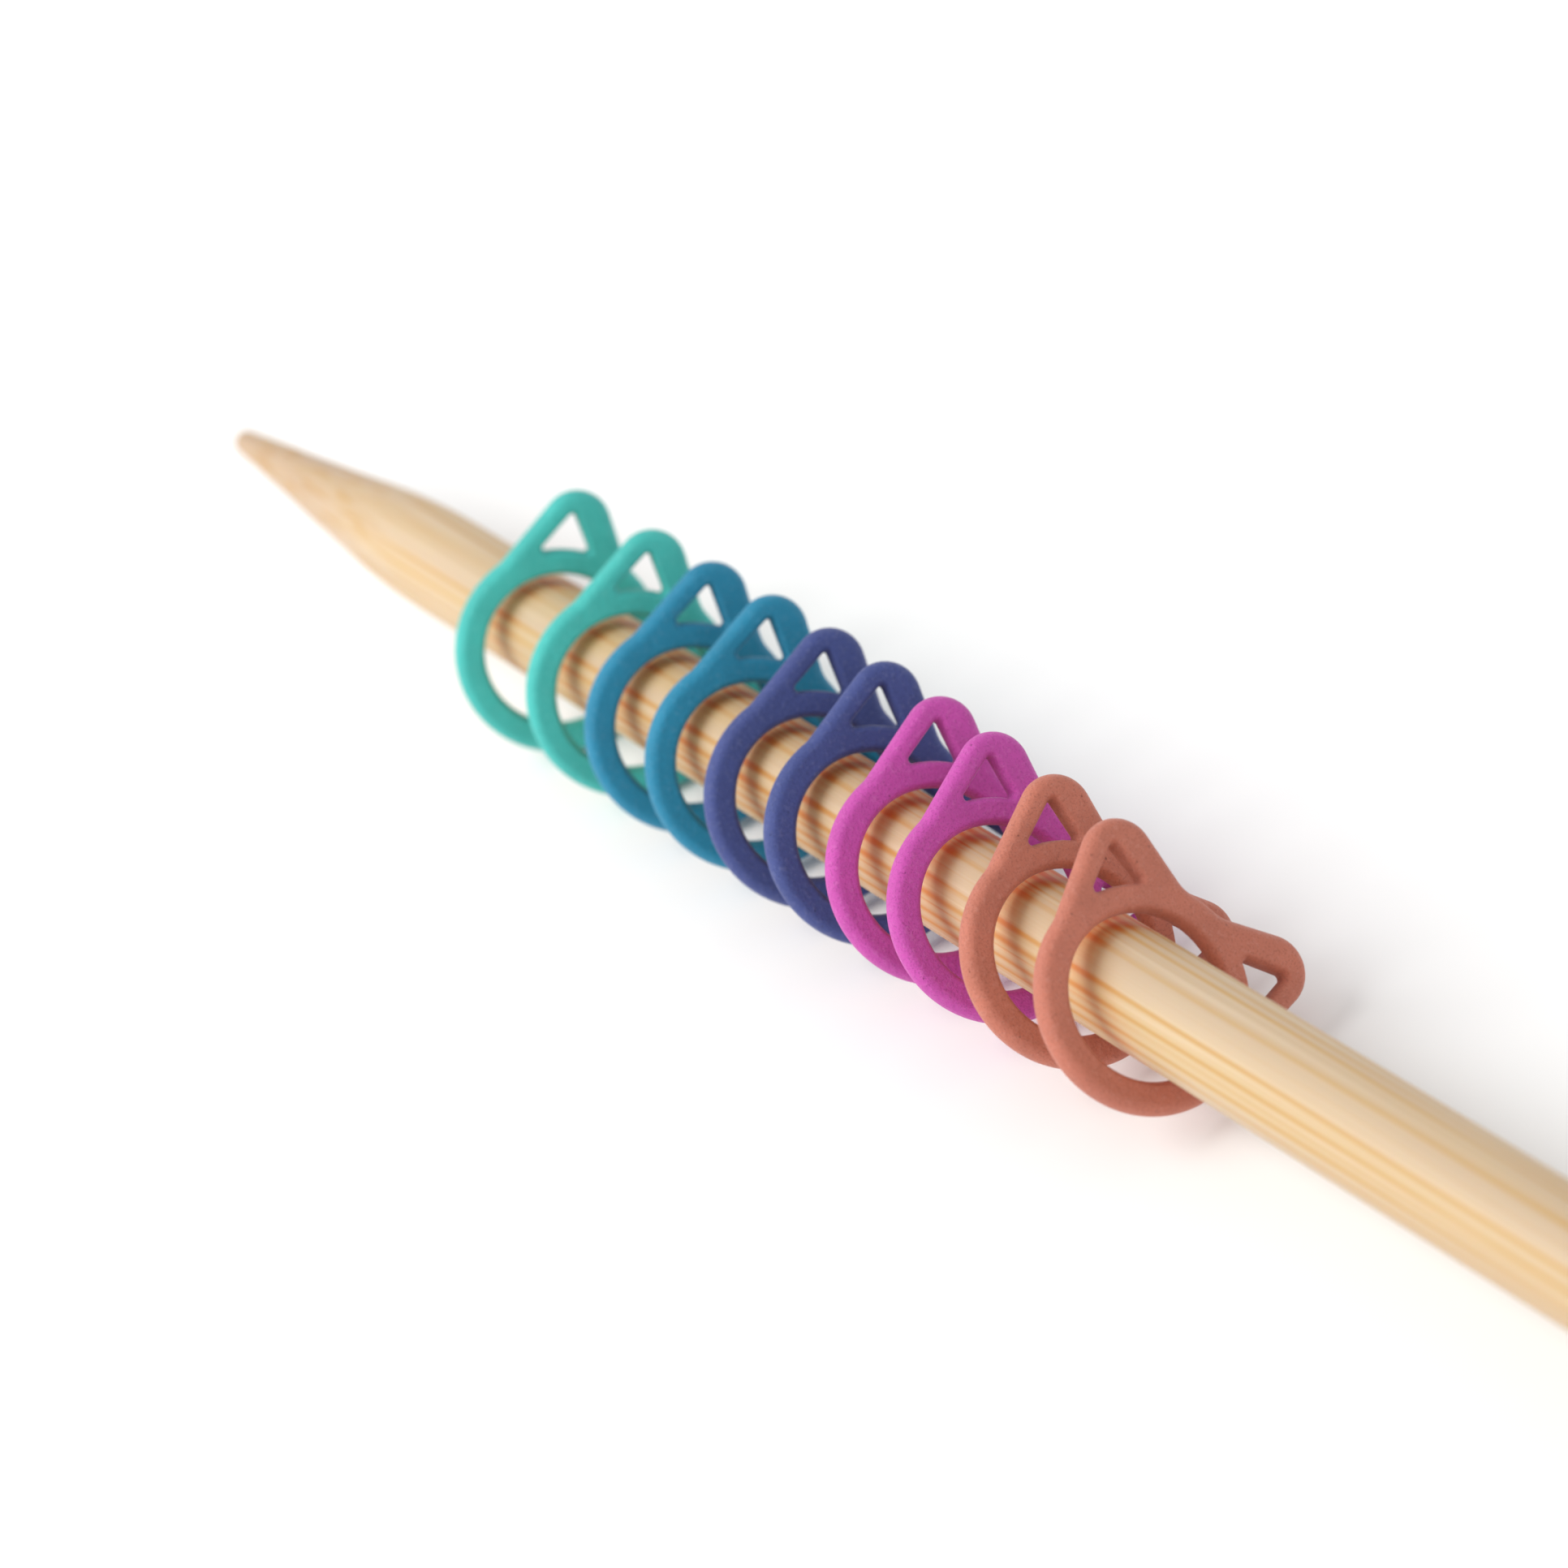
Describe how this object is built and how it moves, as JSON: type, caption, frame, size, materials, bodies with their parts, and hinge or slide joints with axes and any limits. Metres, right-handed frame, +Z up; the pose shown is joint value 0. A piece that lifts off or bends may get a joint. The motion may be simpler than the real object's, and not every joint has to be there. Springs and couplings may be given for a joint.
{
  "type": "double pointed needles",
  "caption": "Straight bamboo needle tapered at both ends, with cat-head-outline ring stitch markers threaded along its shaft; every marker slides.",
  "frame": {"origin": "on the plane the row stands on, under the needle's mid-length, in the middle of the row's width", "axes": "+X along the needle, from the end with the markers to the bare end; +Z up from the plane the markers stand on"},
  "size_m": [0.2, 0.016, 0.0146],
  "materials": {
    "bamboo": "pale straw bamboo with fine long amber fibres, lightly waxed satin",
    "marker_01_teal_coat": "teal soft-touch coat, matte with a fine grain",
    "marker_02_teal_coat": "teal soft-touch coat, matte with a fine grain",
    "marker_03_blue_coat": "blue soft-touch coat, matte with a fine grain",
    "marker_04_blue_coat": "blue soft-touch coat, matte with a fine grain",
    "marker_05_navy_coat": "navy soft-touch coat, matte with a fine grain",
    "marker_06_navy_coat": "navy soft-touch coat, matte with a fine grain",
    "marker_07_magenta_coat": "magenta soft-touch coat, matte with a fine grain",
    "marker_08_magenta_coat": "magenta soft-touch coat, matte with a fine grain",
    "marker_09_terracotta_coat": "terracotta soft-touch coat, matte with a fine grain",
    "marker_10_terracotta_coat": "terracotta soft-touch coat, matte with a fine grain"
  },
  "bodies": {
    "needle": {"needle": "bamboo"},
    "marker_01": {"marker_01_teal": "marker_01_teal_coat"},
    "marker_02": {"marker_02_teal": "marker_02_teal_coat"},
    "marker_03": {"marker_03_blue": "marker_03_blue_coat"},
    "marker_04": {"marker_04_blue": "marker_04_blue_coat"},
    "marker_05": {"marker_05_navy": "marker_05_navy_coat"},
    "marker_06": {"marker_06_navy": "marker_06_navy_coat"},
    "marker_07": {"marker_07_magenta": "marker_07_magenta_coat"},
    "marker_08": {"marker_08_magenta": "marker_08_magenta_coat"},
    "marker_09": {"marker_09_terracotta": "marker_09_terracotta_coat"},
    "marker_10": {"marker_10_terracotta": "marker_10_terracotta_coat"}
  },
  "joints": [
    {"name": "slide_05", "type": "slide", "parent": "needle", "child": "marker_05", "axis": [1, 0, 0], "range_m": [-0.004, 0.0018]},
    {"name": "slide_04", "type": "slide", "parent": "marker_05", "child": "marker_04", "axis": [1, 0, 0], "range_m": [-0.004, 0.0038]},
    {"name": "slide_03", "type": "slide", "parent": "marker_04", "child": "marker_03", "axis": [1, 0, 0], "range_m": [-0.004, 0.0041]},
    {"name": "slide_02", "type": "slide", "parent": "marker_03", "child": "marker_02", "axis": [1, 0, 0], "range_m": [-0.004, 0.0041]},
    {"name": "slide_01", "type": "slide", "parent": "marker_02", "child": "marker_01", "axis": [1, 0, 0], "range_m": [-0.024, 0.0058]},
    {"name": "slide_06", "type": "slide", "parent": "needle", "child": "marker_06", "axis": [1, 0, 0], "range_m": [-0.0018, 0.012]},
    {"name": "slide_07", "type": "slide", "parent": "marker_06", "child": "marker_07", "axis": [1, 0, 0], "range_m": [-0.0036, 0.012]},
    {"name": "slide_08", "type": "slide", "parent": "marker_07", "child": "marker_08", "axis": [1, 0, 0], "range_m": [-0.0034, 0.012]},
    {"name": "slide_09", "type": "slide", "parent": "marker_08", "child": "marker_09", "axis": [1, 0, 0], "range_m": [-0.0043, 0.012]},
    {"name": "slide_10", "type": "slide", "parent": "marker_09", "child": "marker_10", "axis": [1, 0, 0], "range_m": [-0.0041, 0.044]}
  ]
}
